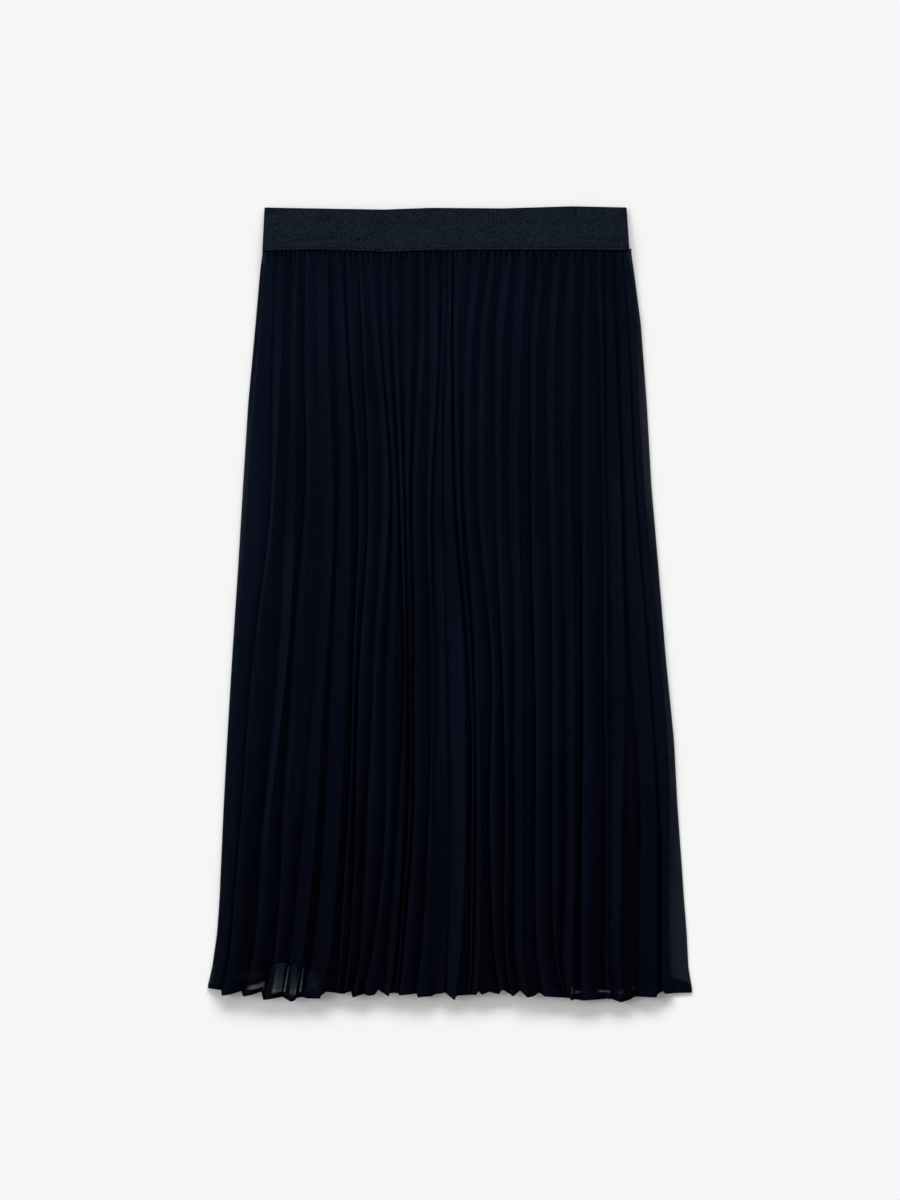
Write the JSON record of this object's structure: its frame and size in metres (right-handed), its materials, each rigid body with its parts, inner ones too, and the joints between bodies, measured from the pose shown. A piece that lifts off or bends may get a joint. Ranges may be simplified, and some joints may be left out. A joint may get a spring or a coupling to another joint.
{
  "type": "pleated skirt",
  "caption": "Pleated midi skirt of sheer navy chiffon over a shorter lining, with a wide satin elastic waistband, laid flat on its back.",
  "frame": {"origin": "on the surface that the skirt lies on, under the middle of its outline", "axes": "+Y along the skirt up to the waistband, +X to the right as seen from above, +Z away from the surface, out of the front panel"},
  "size_m": [0.4842, 0.7947, 0.0117],
  "materials": {
    "chiffon": "sheer matte crepe chiffon with permanent pleats",
    "lining": "matte plain-weave lining",
    "elastic": "satin-faced woven elastic, edge-stitched"
  },
  "bodies": {
    "root": {"waistband": "elastic", "outer_front": "chiffon", "outer_back": "chiffon", "lining_front": "lining", "lining_back": "lining"}
  },
  "joints": []
}
